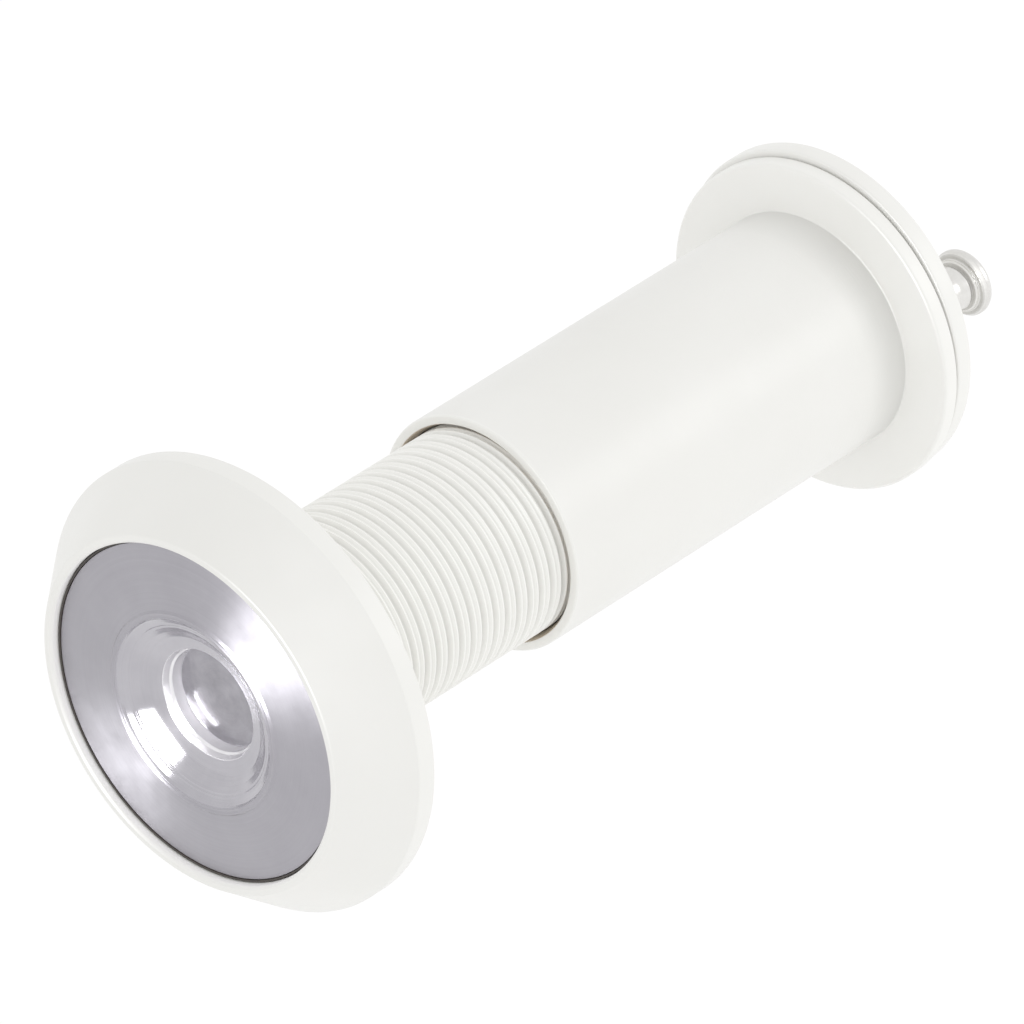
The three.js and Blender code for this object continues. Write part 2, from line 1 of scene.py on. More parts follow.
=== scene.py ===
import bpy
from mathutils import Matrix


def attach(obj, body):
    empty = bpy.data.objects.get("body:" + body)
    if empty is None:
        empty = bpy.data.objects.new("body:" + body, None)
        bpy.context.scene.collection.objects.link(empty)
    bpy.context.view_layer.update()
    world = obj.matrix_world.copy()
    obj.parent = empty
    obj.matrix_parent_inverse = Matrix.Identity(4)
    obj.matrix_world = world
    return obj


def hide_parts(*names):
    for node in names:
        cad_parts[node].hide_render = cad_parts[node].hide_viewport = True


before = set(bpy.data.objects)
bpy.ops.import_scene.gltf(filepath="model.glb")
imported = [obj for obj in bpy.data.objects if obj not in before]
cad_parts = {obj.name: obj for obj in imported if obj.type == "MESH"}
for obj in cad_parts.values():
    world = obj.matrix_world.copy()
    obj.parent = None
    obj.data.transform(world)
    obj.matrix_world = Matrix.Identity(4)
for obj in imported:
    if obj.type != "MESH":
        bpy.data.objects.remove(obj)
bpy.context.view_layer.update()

import math

import bmesh
import bpy
from mathutils import Matrix, Vector

# Door viewer in metres. Profiles are written in millimetres as (radius, y, fillet) and scaled by MM.
# The optical axis is Y: street side -Y, room side +Y, +Z up.
MM = 0.001
TAU = 2.0 * math.pi

# Facet counts of one full turn
FINE = 256
MEDIUM = 160
SMALL = 96

# Fillets: facets of each arc, and the most of a side that one arc takes up
FILLET_STEPS = 6
THREAD_FILLET_STEPS = 4
FILLET_SHARE = 0.49

# Edges that bend by more than these stay sharp, in degrees
SHARP_ANGLE = 35.0
THREAD_SHARP_ANGLE = 40.0

# A profile point nearer the axis than this lies on it, in millimetres
ON_AXIS = 1e-6

# Points closer together than these are joined, in metres
LATHE_WELD = 1e-8
THREAD_WELD = 1e-7

# Screw thread in millimetres, the same start and pitch as the CAD solids, with a rolled thread's seam
# along its crest. The valley's shoulder is a rise above the root and a reach along Y.
PITCH = 0.907
CREST_RADIUS = 6.2
ROOT_RADIUS = 5.84
CREST_FLAT = 0.47
VALLEY_SHOULDER = (0.07, 0.09)
CREST_LAND = 0.09
CREST_SEAM_DEPTH = 0.19
CAD_CREST_MIDDLE = 0.12
THREAD_STEPS = 128
THREAD_GAP = 0.12

# Where each thread runs out, in millimetres: how far the radius changes, and over what length
CHAMFER_DEPTH = 0.7
CHAMFER_LENGTH = 0.6
LEAD_IN_DEPTH = 0.55
LEAD_IN_LENGTH = 0.8

# Main places along Y, in millimetres
POCKET_FLOOR = -1.3
STACK_SEAT = 8.0
RELAY_SEAT = 27.6
BARREL_END = 31.8
SLEEVE_MOUTH = 18.2
THREAD_MOUTH = 19.2
THREAD_DEEP = 26.4
EYE_SEAT = 43.2
FLANGE_FRONT = 45.3
FLANGE_BACK = 46.3
COVER_FRONT = 46.42
COVER_BACK = 47.6

# Main radii, in millimetres. The core is the barrel under its thread.
BEZEL_RADIUS = 13.2
CORE_RADIUS = 5.5
STACK_BORE = 4.9
STACK_RADIUS = 4.75
SLEEVE_RADIUS = 7.0
SLEEVE_BORE = 6.45
MOUTH_LIP = 6.28
FLANGE_RADIUS = 9.86
EYE_BORE = 5.45
EYE_RADIUS = 5.3
COVER_RADIUS = 9.93
PIVOT_BORE = 0.7

# Cover pivot, cover swing at rest and knob
PIVOT_ANGLE = math.radians(202.0)
PIVOT_DISTANCE = 8.2
COVER_SWING = math.radians(2.0)
KNOB_DISTANCE = 7.3
KNOB_LIFT = 0.1

# Painted shade on the steps under the knob's head: middle, half width, edge (mm along Y), tone
KNOB_STEP_PAINTED_SHADE = [
    (49.88, 0.06, 0.05, 0.80),
    (50.18, 0.05, 0.06, 0.80),
    (50.48, 0.12, 0.08, 0.95),
]

# Painted light and shade on the paint: start and end of the change in millimetres, factor before it and after
# it. On the sleeve: painted light on the mouth face, painted shade darkening the tube towards the flange, and
# the flange painted lighter.
SLEEVE_PAINTED_LIGHT_AND_SHADE = [
    (18.2, 18.4, 1.08, 1.0),
    (42.5, 45.2, 1.0, 0.87),
    (45.22, 45.30, 1.0, 1.21),
]
# Painted shade in the thread's valleys, darker towards the root
VALLEY_PAINTED_SHADE = (5.90, 6.14, 0.88, 1.0)

# Tan lip inside the sleeve's mouth: colour, and the place along Y that it fades out beyond, in millimetres
MOUTH_TAN = (0.66, 0.57, 0.46)
TAN_END = 30.0

# Zones of the front lens, each with the radii in millimetres that its edge runs between
LENS_WINDOW = (2.96, 2.99)
LENS_WELL = (3.26, 3.30)
LENS_BOWL = (5.50, 5.58)

# The range that most of a noise texture lies in
NOISE_LOW = 0.3
NOISE_HIGH = 0.7

# Turned metal: grooves per millimetre of radius, and how fast the pattern changes per degree of turn
GROOVES_PER_MM = 14.0
GROOVE_CHANGE = 0.006

# Display tones that a dark and a bright tint belong to
DARK_TONE = 0.60
BRIGHT_TONE = 0.90

# Studio, in metres and degrees
FLOOR_HALF = 3.0
FLOOR_HEIGHT = -0.052
FLOOR_GLOW = 0.11
SKY_STRENGTH = 0.965
LIGHT_AIM = (0.0, 0.02, 0.0)
CAMERA_AIM = (0.0070, 0.0129, 0.0073)
CAMERA_DISTANCE = 0.6606
CAMERA_AZIMUTH = 41.68
CAMERA_ELEVATION = 34.30
CAMERA_ROLL = 0.27


# ---------------------------------------------------------------- geometry

def linked(name, data):
    """A new object in the scene that shows a mesh, light or camera."""
    obj = bpy.data.objects.new(name, data)
    bpy.context.scene.collection.objects.link(obj)
    return obj


def finished_mesh(bm, name):
    """Writes a bmesh to a new mesh and frees it."""
    mesh = bpy.data.meshes.new(name)
    bm.to_mesh(mesh)
    bm.free()
    return mesh


def filleted(profile, steps=FILLET_STEPS):
    """Replaces each inner corner of (r, y, fillet) with an arc of that radius."""
    points = []
    count = len(profile)
    for i, corner in enumerate(profile):
        here = Vector(corner[:2])
        radius = corner[2] if len(corner) > 2 else 0.0
        if radius <= 0.0 or i == 0 or i == count - 1:
            points.append(here)
            continue
        to_last = Vector(profile[i - 1][:2]) - here
        to_next = Vector(profile[i + 1][:2]) - here
        opening = to_last.angle(to_next)
        reach = radius / math.tan(opening / 2.0)
        reach = min(reach, to_last.length * FILLET_SHARE, to_next.length * FILLET_SHARE)
        true_radius = reach * math.tan(opening / 2.0)
        start = here + to_last.normalized() * reach
        end = here + to_next.normalized() * reach
        middle = (to_last.normalized() + to_next.normalized()).normalized()
        centre = here + middle * (true_radius / math.sin(opening / 2.0))
        arm = start - centre
        turn = arm.angle_signed(end - centre)
        for step in range(steps + 1):
            angle = -turn * step / steps
            across = math.cos(angle)
            along = math.sin(angle)
            points.append(centre + Vector((arm.x * across - arm.y * along, arm.x * along + arm.y * across)))
    return points


def lathe_mesh(name, profile, facets, loop):
    """Revolves a filleted profile about Y. loop joins the last corner to the first."""
    if loop:
        wrapped = [profile[-1]] + list(profile) + [profile[0]]
        points = filleted(wrapped)[1:-1]
    else:
        points = filleted(profile)
    bm = bmesh.new()
    rings = []
    for p in points:
        if p.x < ON_AXIS:
            rings.append([bm.verts.new((0.0, p.y * MM, 0.0))])
            continue
        ring = []
        for j in range(facets):
            angle = TAU * j / facets
            ring.append(bm.verts.new((p.x * MM * math.cos(angle), p.y * MM, p.x * MM * math.sin(angle))))
        rings.append(ring)
    spans = list(zip(rings, rings[1:]))
    if loop:
        spans.append((rings[-1], rings[0]))
    for low, high in spans:
        for j in range(facets):
            k = (j + 1) % facets
            if len(low) == 1 and len(high) == 1:
                continue
            if len(low) == 1:
                bm.faces.new((low[0], high[j], high[k]))
            elif len(high) == 1:
                bm.faces.new((low[j], high[0], low[k]))
            else:
                bm.faces.new((low[j], high[j], high[k], low[k]))
    bmesh.ops.remove_doubles(bm, verts=bm.verts, dist=LATHE_WELD)
    bmesh.ops.recalc_face_normals(bm, faces=bm.faces)
    return finished_mesh(bm, name)


def thread_section(gap):
    """One pitch of the thread as (radius, rise), its crest centred on the CAD crest, corners rounded."""
    crest = CREST_RADIUS + gap
    root = ROOT_RADIUS + gap
    shoulder_depth, shoulder_reach = VALLEY_SHOULDER
    start = (PITCH - CREST_FLAT) / 2.0
    end = start + CREST_FLAT
    section = [
        (root, 0.0),
        (root + shoulder_depth, shoulder_reach, 0.06),
        (crest, start, 0.05),
        (crest, start + CREST_LAND, 0.05),
        (crest - CREST_SEAM_DEPTH, PITCH / 2.0, 0.03),
        (crest, end - CREST_LAND, 0.05),
        (crest, end, 0.05),
        (root + shoulder_depth, PITCH - shoulder_reach, 0.06),
        (root, PITCH),
    ]
    phase = CAD_CREST_MIDDLE - PITCH / 2.0
    return [(p.x, p.y + phase) for p in filleted(section, THREAD_FILLET_STEPS)][:-1]


def thread_mesh(name, gap, y_low, y_high, closing_radius, limited):
    """Helical surface cut off at two heights, each end closed flat to closing_radius.

    limited(radius, y) turns the end down, all in millimetres.
    """
    section = thread_section(gap)
    per_turn = len(section)
    first = math.floor(y_low / PITCH) - 2
    rows = (math.ceil((y_high - y_low) / PITCH) + 4) * per_turn + 1
    bm = bmesh.new()
    columns = []
    for j in range(THREAD_STEPS):
        share = j / THREAD_STEPS
        angle = share * TAU
        column = []
        for i in range(rows):
            radius, rise = section[i % per_turn]
            y = (first + i // per_turn + share) * PITCH + rise
            radius = limited(radius, y)
            place = (radius * MM * math.sin(angle), y * MM, radius * MM * math.cos(angle))
            column.append(bm.verts.new(place))
        columns.append(column)
    for j in range(THREAD_STEPS):
        k = (j + 1) % THREAD_STEPS
        shift = per_turn if k == 0 else 0
        here = columns[j]
        beside = columns[k]
        for i in range(rows - 1 - shift):
            bm.faces.new((here[i], here[i + 1], beside[i + 1 + shift], beside[i + shift]))
    for height, side in ((y_low, -1.0), (y_high, 1.0)):
        bmesh.ops.bisect_plane(
            bm, geom=bm.verts[:] + bm.edges[:] + bm.faces[:], plane_co=(0.0, height * MM, 0.0),
            plane_no=(0.0, side, 0.0), clear_outer=True)
    rims = [edge for edge in bm.edges if edge.is_boundary]
    for part in bmesh.ops.extrude_edge_only(bm, edges=rims)["geom"]:
        if isinstance(part, bmesh.types.BMVert):
            scale = closing_radius * MM / math.hypot(part.co.x, part.co.z)
            part.co.x *= scale
            part.co.z *= scale
    bmesh.ops.remove_doubles(bm, verts=bm.verts, dist=THREAD_WELD)
    bm.normal_update()
    outward = sum(face.normal.x * face.calc_center_median().x + face.normal.z * face.calc_center_median().z
                  for face in bm.faces)
    if (outward > 0.0) != (closing_radius < CREST_RADIUS):
        bmesh.ops.reverse_faces(bm, faces=bm.faces)
    return finished_mesh(bm, name)


def make_piece(name, mesh, body, replaced, material, sharp_angle=SHARP_ANGLE):
    """A piece that rides on a body and stands for one CAD node."""
    obj = linked(name, mesh)
    mesh.polygons.foreach_set("use_smooth", [True] * len(mesh.polygons))
    mesh.set_sharp_from_angle(angle=math.radians(sharp_angle))
    mesh.materials.append(material)
    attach(obj, body)
    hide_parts(replaced)
    return obj


def turned_piece(name, profile, facets, body, replaced, material, loop=False):
    return make_piece(name, lathe_mesh(name, profile, facets, loop), body, replaced, material)


def cut(obj, cutters):
    """Cuts closed cutter meshes out of obj and applies the result."""
    for cutter in cutters:
        modifier = obj.modifiers.new("cut", "BOOLEAN")
        modifier.operation = "DIFFERENCE"
        modifier.solver = "EXACT"
        modifier.object = cutter
    bpy.context.view_layer.update()
    evaluated = obj.evaluated_get(bpy.context.evaluated_depsgraph_get())
    mesh = bpy.data.meshes.new_from_object(evaluated)
    obj.modifiers.clear()
    old = obj.data
    obj.data = mesh
    bpy.data.meshes.remove(old)
    mesh.set_sharp_from_angle(angle=math.radians(SHARP_ANGLE))
    for cutter in cutters:
        bpy.data.objects.remove(cutter)


def box_cutter(width, depth, inner, outer, face_y, angle):
    """Radial slot cutter centred on face_y, in millimetres."""
    bm = bmesh.new()
    bmesh.ops.create_cube(bm, size=1.0)
    matrix = (
        Matrix.Rotation(-angle, 4, "Y")
        @ Matrix.Translation(((inner + outer) / 2.0 * MM, face_y * MM, 0.0))
        @ Matrix.Diagonal(((outer - inner) * MM, 2.0 * depth * MM, width * MM, 1.0))
    )
    bmesh.ops.transform(bm, matrix=matrix, verts=bm.verts)
    return linked("cutter", finished_mesh(bm, "cutter"))


def round_cutter(profile, x, z):
    """Turned cutter about a line through (x, z), in millimetres."""
    mesh = lathe_mesh("cutter", profile, SMALL, False)
    mesh.transform(Matrix.Translation((x * MM, 0.0, z * MM)))
    return linked("cutter", mesh)


# ---------------------------------------------------------------- materials

def new_material(name):
    material = bpy.data.materials.new(name)
    material.use_nodes = True
    tree = material.node_tree
    return material, tree, tree.nodes["Principled BSDF"]


def object_coordinates(tree):
    return tree.nodes.new("ShaderNodeTexCoord").outputs["Object"]


def feed(tree, value, socket):
    """Sets a socket to a number, or links another node's output to it."""
    if isinstance(value, (int, float)):
        socket.default_value = value
    else:
        tree.links.new(value, socket)


def noise(tree, coordinates, scale, detail, roughness=0.5):
    node = tree.nodes.new("ShaderNodeTexNoise")
    node.inputs["Scale"].default_value = scale
    node.inputs["Detail"].default_value = detail
    node.inputs["Roughness"].default_value = roughness
    tree.links.new(coordinates, node.inputs["Vector"])
    return node.outputs["Fac"]


def math_node(tree, operation, *values):
    node = tree.nodes.new("ShaderNodeMath")
    node.operation = operation
    for socket, value in zip(node.inputs, values):
        feed(tree, value, socket)
    return node.outputs[0]


def in_millimetres(tree, metres):
    return math_node(tree, "MULTIPLY", metres, 1.0 / MM)


def mapped(tree, value, low, high, to_low, to_high):
    node = tree.nodes.new("ShaderNodeMapRange")
    node.inputs["From Min"].default_value = low
    node.inputs["From Max"].default_value = high
    node.inputs["To Min"].default_value = to_low
    node.inputs["To Max"].default_value = to_high
    tree.links.new(value, node.inputs["Value"])
    return node.outputs["Result"]


def spread(tree, texture, to_low, to_high):
    """Draws a noise's usual range out to the two values."""
    return mapped(tree, texture, NOISE_LOW, NOISE_HIGH, to_low, to_high)


def soft_band(tree, distance, half, edge):
    """1 within half of zero distance, falling smoothly to 0 over edge."""
    node = tree.nodes.new("ShaderNodeMapRange")
    node.interpolation_type = "SMOOTHSTEP"
    node.inputs["From Min"].default_value = half
    node.inputs["From Max"].default_value = half + edge
    node.inputs["To Min"].default_value = 1.0
    node.inputs["To Max"].default_value = 0.0
    tree.links.new(distance, node.inputs["Value"])
    return node.outputs["Result"]


def ramp(tree, factor, dark, pale, low=NOISE_LOW, high=NOISE_HIGH):
    """A colour that runs from dark to pale as the factor rises from low to high."""
    node = tree.nodes.new("ShaderNodeValToRGB")
    for element, place, colour in zip(node.color_ramp.elements, (low, high), (dark, pale)):
        element.position = place
        element.color = (*colour, 1.0)
    tree.links.new(factor, node.inputs["Fac"])
    return node.outputs["Color"]


def scaled(tree, colour, factor):
    node = tree.nodes.new("ShaderNodeVectorMath")
    node.operation = "SCALE"
    tree.links.new(colour, node.inputs[0])
    tree.links.new(factor, node.inputs["Scale"])
    return node.outputs["Vector"]


def mixed(tree, colour, other, mask):
    """The colour, replaced by a plain one where the mask is 1."""
    node = tree.nodes.new("ShaderNodeMix")
    node.data_type = "RGBA"
    tree.links.new(mask, node.inputs["Factor"])
    tree.links.new(colour, node.inputs["A"])
    node.inputs["B"].default_value = (*other, 1.0)
    return node.outputs["Result"]


def blend(tree, tone, target, mask):
    """The tone, replaced by the target where the mask is 1."""
    node = tree.nodes.new("ShaderNodeMix")
    for socket, value in zip((node.inputs[0], node.inputs[2], node.inputs[3]), (mask, tone, target)):
        feed(tree, value, socket)
    return node.outputs[0]


def bump(tree, height, strength, distance, below=None):
    node = tree.nodes.new("ShaderNodeBump")
    node.inputs["Strength"].default_value = strength
    node.inputs["Distance"].default_value = distance
    tree.links.new(height, node.inputs["Height"])
    if below is not None:
        tree.links.new(below, node.inputs["Normal"])
    return node.outputs["Normal"]


def finish(tree, shader, colour, rough, normal):
    """Links what varies over a surface to its shader."""
    tree.links.new(colour, shader.inputs["Base Color"])
    tree.links.new(rough, shader.inputs["Roughness"])
    tree.links.new(normal, shader.inputs["Normal"])


def split(tree, coordinates):
    parts = tree.nodes.new("ShaderNodeSeparateXYZ")
    tree.links.new(coordinates, parts.inputs[0])
    return parts.outputs


def radius_from_axis(tree, parts):
    """Distance from the Y axis in metres."""
    x_square = math_node(tree, "MULTIPLY", parts["X"], parts["X"])
    z_square = math_node(tree, "MULTIPLY", parts["Z"], parts["Z"])
    return math_node(tree, "SQRT", math_node(tree, "ADD", x_square, z_square))


def turn_about_axis(tree, parts):
    """The turn about the Y axis as 0 to 1, from +X through +Z."""
    angle = math_node(tree, "ARCTAN2", parts["Z"], parts["X"])
    return math_node(tree, "FRACT", math_node(tree, "ADD", math_node(tree, "DIVIDE", angle, TAU), 1.0))


def tinted_between(tree, colour, place, tint):
    """The colour times a factor that changes between two places, given in millimetres."""
    start, end, before, after = tint
    return scaled(tree, colour, mapped(tree, place, start * MM, end * MM, before, after))


def sleeve_colour(tree, colour, parts):
    """Tan inside the mouth, then painted light and shade: a mouth face painted lighter, painted shade
    darkening the rear and a flange painted lighter.
    """
    bore = soft_band(tree, in_millimetres(tree, radius_from_axis(tree, parts)), SLEEVE_BORE + 0.01, 0.05)
    front_half = soft_band(tree, in_millimetres(tree, parts["Y"]), TAN_END, 5.0)
    colour = mixed(tree, colour, MOUTH_TAN, math_node(tree, "MULTIPLY", bore, front_half))
    # Painted light on the mouth face and flange, painted shade towards the flange
    for tint in SLEEVE_PAINTED_LIGHT_AND_SHADE:
        colour = tinted_between(tree, colour, parts["Y"], tint)
    return colour


def turning_marks(tree, parts, below):
    """Faint marks about the axis that grow stronger towards the flange, over the bump below them."""
    stretch = tree.nodes.new("ShaderNodeCombineXYZ")
    tree.links.new(math_node(tree, "MULTIPLY", parts["Y"], 9000.0), stretch.inputs["X"])
    tree.links.new(math_node(tree, "MULTIPLY", turn_about_axis(tree, parts), 5.0), stretch.inputs["Y"])
    streaks = noise(tree, stretch.outputs["Vector"], 1.0, 2.0)
    reach = mapped(tree, parts["Y"], 0.030, 0.042, 0.15, 1.0)
    return bump(tree, math_node(tree, "MULTIPLY", streaks, reach), 0.25, 0.00003, below)


def white_paint(name, brightness, kind):
    """Satin warm-white coat with fine orange peel and mottling, its brightness set per part as painted light
    and shade. kind is plain, sleeve or thread: the sleeve adds painted light and shade along its length, the
    thread painted shade in its valleys.
    """
    material, tree, shader = new_material(name)
    coordinates = object_coordinates(tree)
    dark = tuple(brightness * part for part in (0.980, 0.975, 0.940))
    pale = tuple(brightness * part for part in (1.020, 1.016, 0.985))
    colour = ramp(tree, noise(tree, coordinates, 90.0, 4.0), dark, pale)
    rough = spread(tree, noise(tree, coordinates, 400.0, 5.0), 0.36, 0.46)
    peel = bump(tree, noise(tree, coordinates, 2600.0, 2.0), 0.10, 0.00004)
    parts = split(tree, coordinates)
    # The sleeve gets painted light and shade along its length
    if kind == "sleeve":
        colour = sleeve_colour(tree, colour, parts)
        peel = turning_marks(tree, parts, peel)
    # Painted shade in the thread's valleys, darker towards the root
    if kind == "thread":
        colour = tinted_between(tree, colour, radius_from_axis(tree, parts), VALLEY_PAINTED_SHADE)
    finish(tree, shader, colour, rough, peel)
    shader.inputs["Specular IOR Level"].default_value = 0.45
    shader.inputs["Coat Weight"].default_value = 0.12
    shader.inputs["Coat Roughness"].default_value = 0.25
    return material


def shade(tone):
    """Linear value of a display tone from 0 to 1."""
    return tone ** 2.2


def turned_places(tree, coordinates, sway_degrees):
    """Radius in mm and turn in degrees, the turn swaying a little so that no edge is dead straight."""
    parts = split(tree, coordinates)
    sway = math_node(tree, "SUBTRACT", noise(tree, coordinates, 260.0, 1.0), 0.5)
    straight = math_node(tree, "MULTIPLY", turn_about_axis(tree, parts), 360.0)
    degrees = math_node(tree, "ADD", straight, math_node(tree, "MULTIPLY", sway, sway_degrees))
    return in_millimetres(tree, radius_from_axis(tree, parts)), degrees


def groove_noise(tree, radius_mm, degrees):
    """Noise drawn out along circles about the axis, as fine turning leaves it."""
    line = tree.nodes.new("ShaderNodeCombineXYZ")
    tree.links.new(math_node(tree, "MULTIPLY", radius_mm, GROOVES_PER_MM), line.inputs["X"])
    tree.links.new(math_node(tree, "MULTIPLY", degrees, GROOVE_CHANGE), line.inputs["Y"])
    return noise(tree, line.outputs["Vector"], 1.0, 2.0)


def tinted(tree, tone, dark_tint, bright_tint):
    """Grey tone coloured by one tint when dark and another when bright."""
    colour = tree.nodes.new("ShaderNodeCombineColor")
    for socket, dark, bright in zip(colour.inputs, dark_tint, bright_tint):
        part = mapped(tree, tone, shade(DARK_TONE), shade(BRIGHT_TONE), dark, bright)
        tree.links.new(math_node(tree, "MULTIPLY", tone, part), socket)
    return colour.outputs["Color"]


def turned_in_circles(tree, shader, strength):
    """Grooves about the Y axis, so reflections draw out across them, along the radius."""
    tangent = tree.nodes.new("ShaderNodeTangent")
    tangent.direction_type = "RADIAL"
    tangent.axis = "Y"
    tree.links.new(tangent.outputs["Tangent"], shader.inputs["Tangent"])
    shader.inputs["Anisotropic"].default_value = strength
    shader.inputs["Anisotropic Rotation"].default_value = 0.25


def inside(tree, radius_mm, edge):
    """1 inside a zone of the lens, falling to 0 across its edge."""
    inner, outer = edge
    return mapped(tree, radius_mm, inner, outer, 1.0, 0.0)


def silvered_glass(name):
    """Front lens: glass over silvering turned in fine circles, each step of its bowl in a tone of its own,
    and the well's wall painted light against the shade that it lies in.
    """
    material, tree, shader = new_material(name)
    coordinates = object_coordinates(tree)
    radius_mm, degrees = turned_places(tree, coordinates, 9.0)
    clouds = noise(tree, coordinates, 420.0, 4.0, 0.6)
    specks = noise(tree, coordinates, 900.0, 5.0, 0.65)
    grooves = groove_noise(tree, radius_mm, degrees)
    in_bowl = inside(tree, radius_mm, LENS_BOWL)
    in_well = inside(tree, radius_mm, LENS_WELL)
    in_window = inside(tree, radius_mm, LENS_WINDOW)
    tone = spread(tree, clouds, shade(0.635), shade(0.66))
    tone = blend(tree, tone, spread(tree, clouds, shade(0.69), shade(0.73)), in_bowl)
    # Painted light: the well's wall is made bright against the shade deep in it
    tone = blend(tree, tone, shade(0.90), in_well)
    tone = blend(tree, tone, spread(tree, specks, shade(0.55), shade(0.63)), in_window)
    tone = math_node(tree, "MULTIPLY", tone, spread(tree, grooves, 0.97, 1.03))
    outer_rough = spread(tree, clouds, 0.30, 0.38)
    bowl_rough = spread(tree, clouds, 0.13, 0.18)
    finish(
        tree, shader, tinted(tree, tone, (1.01, 0.98, 1.075), (1.0, 0.99, 1.01)),
        blend(tree, outer_rough, bowl_rough, in_bowl), bump(tree, grooves, 0.04, 0.00002))
    tree.links.new(mapped(tree, in_well, 0.0, 1.0, 1.0, 0.5), shader.inputs["Metallic"])
    turned_in_circles(tree, shader, 0.85)
    shader.inputs["Coat Weight"].default_value = 0.6
    shader.inputs["Coat Roughness"].default_value = 0.03
    return material


def turned_mirror(name):
    """Bright aluminium turned in circles, so its reflections spread along the radius."""
    material, tree, shader = new_material(name)
    radius_mm, degrees = turned_places(tree, object_coordinates(tree), 4.0)
    grooves = groove_noise(tree, radius_mm, degrees)
    tone = spread(tree, grooves, 0.50, 0.62)
    finish(
        tree, shader, tinted(tree, tone, (1.0, 0.98, 1.05), (1.0, 0.99, 1.01)),
        spread(tree, grooves, 0.16, 0.26), bump(tree, grooves, 0.08, 0.00002))
    shader.inputs["Metallic"].default_value = 1.0
    turned_in_circles(tree, shader, 0.7)
    return material


def glass(name, tint):
    """Clear optical glass with a faint coating tint and barely visible polishing haze."""
    material, tree, shader = new_material(name)
    haze = noise(tree, object_coordinates(tree), 700.0, 4.0)
    pale = tuple(min(1.0, part * 1.03) for part in tint)
    finish(
        tree, shader, ramp(tree, haze, tint, pale, 0.2, 0.8),
        spread(tree, haze, 0.0, 0.03), bump(tree, haze, 0.02, 0.00002))
    shader.inputs["Transmission Weight"].default_value = 1.0
    shader.inputs["IOR"].default_value = 1.52
    return material


def black_metal(name):
    material, tree, shader = new_material(name)
    grain = noise(tree, object_coordinates(tree), 1800.0, 5.0)
    colour = ramp(tree, grain, (0.018, 0.017, 0.017), (0.035, 0.034, 0.034))
    finish(tree, shader, colour, spread(tree, grain, 0.45, 0.65), bump(tree, grain, 0.15, 0.00002))
    shader.inputs["Metallic"].default_value = 0.4
    return material


def bright_nickel(name, step_shade_tones, smooth, rough):
    """Polished nickel plate with a fine grain. step_shade_tones paints shade on steps along Y."""
    material, tree, shader = new_material(name)
    coordinates = object_coordinates(tree)
    grain = noise(tree, coordinates, 6000.0, 3.0)
    colour = ramp(tree, grain, (0.76, 0.75, 0.725), (0.80, 0.79, 0.77))
    y_mm = in_millimetres(tree, split(tree, coordinates)["Y"])
    # Painted shade on the steps along Y
    for middle, half, edge, tone in step_shade_tones:
        away = math_node(tree, "ABSOLUTE", math_node(tree, "SUBTRACT", y_mm, middle))
        colour = scaled(tree, colour, blend(tree, 1.0, tone, soft_band(tree, away, half, edge)))
    finish(tree, shader, colour, spread(tree, grain, smooth, rough), bump(tree, grain, 0.02, 0.00002))
    shader.inputs["Metallic"].default_value = 1.0
    return material


def seal_rubber(name):
    material, tree, shader = new_material(name)
    grain = noise(tree, object_coordinates(tree), 2400.0, 5.0)
    colour = ramp(tree, grain, (0.020, 0.014, 0.010), (0.045, 0.034, 0.026))
    finish(tree, shader, colour, spread(tree, grain, 0.6, 0.8), bump(tree, grain, 0.2, 0.00003))
    return material


def nylon(name):
    material, tree, shader = new_material(name)
    grain = noise(tree, object_coordinates(tree), 1200.0, 4.0)
    colour = ramp(tree, grain, (0.62, 0.57, 0.49), (0.70, 0.65, 0.57))
    finish(tree, shader, colour, spread(tree, grain, 0.5, 0.65), bump(tree, grain, 0.1, 0.00002))
    return material


# Copies of one white paint, each brightness standing in for the light and shade on its part: painted light
# and shade. The thread's copy is brightest, painted light against the shade between its turns.
PAINT_BEZEL = white_paint("paint_bezel", 0.825, "plain")
PAINT_THREAD_LIGHT_AND_SHADE = white_paint("paint_thread_light_and_shade", 0.90, "thread")
PAINT_SLEEVE_LIGHT_AND_SHADE = white_paint("paint_sleeve_light_and_shade", 0.82, "sleeve")
PAINT_COVER = white_paint("paint_cover", 0.845, "plain")
MIRROR = turned_mirror("turned_mirror")
SILVERED = silvered_glass("silvered_glass")
GLASS = glass("optical_glass", (0.93, 0.93, 0.96))
BLACK = black_metal("black_metal")
NICKEL = bright_nickel("bright_nickel", [], 0.16, 0.24)
KNOB_NICKEL = bright_nickel("knob_nickel", KNOB_STEP_PAINTED_SHADE, 0.34, 0.40)
RUBBER = seal_rubber("seal_rubber")
NYLON = nylon("washer_nylon")


# ---------------------------------------------------------------- barrel side

def build_bezel():
    profile = [
        (STACK_BORE, POCKET_FLOOR, 0.1),
        (10.0, POCKET_FLOOR, 0.1),
        (10.0, -4.62, 0.16),
        (10.16, -4.76, 0.1),
        (10.5, -4.76, 0.2),
        (BEZEL_RADIUS, -1.2, 0.12),
        (BEZEL_RADIUS, 0.0, 0.1),
        (CORE_RADIUS, 0.0, 0.0),
        (CORE_RADIUS, BARREL_END, 0.1),
        (STACK_BORE, BARREL_END, 0.1),
        (STACK_BORE, RELAY_SEAT, 0.05),
        (4.4, RELAY_SEAT, 0.05),
        (4.4, STACK_SEAT, 0.05),
        (STACK_BORE, STACK_SEAT, 0.05),
    ]
    turned_piece(
        "bezel_and_barrel", profile, FINE, "barrel", "outer_barrel", PAINT_BEZEL, loop=True)


def chamfered_end(radius, y):
    """The barrel's thread is turned down to the core over the chamfer's length at its end."""
    return min(radius, CORE_RADIUS + max(BARREL_END - y, 0.0) * CHAMFER_DEPTH / CHAMFER_LENGTH)


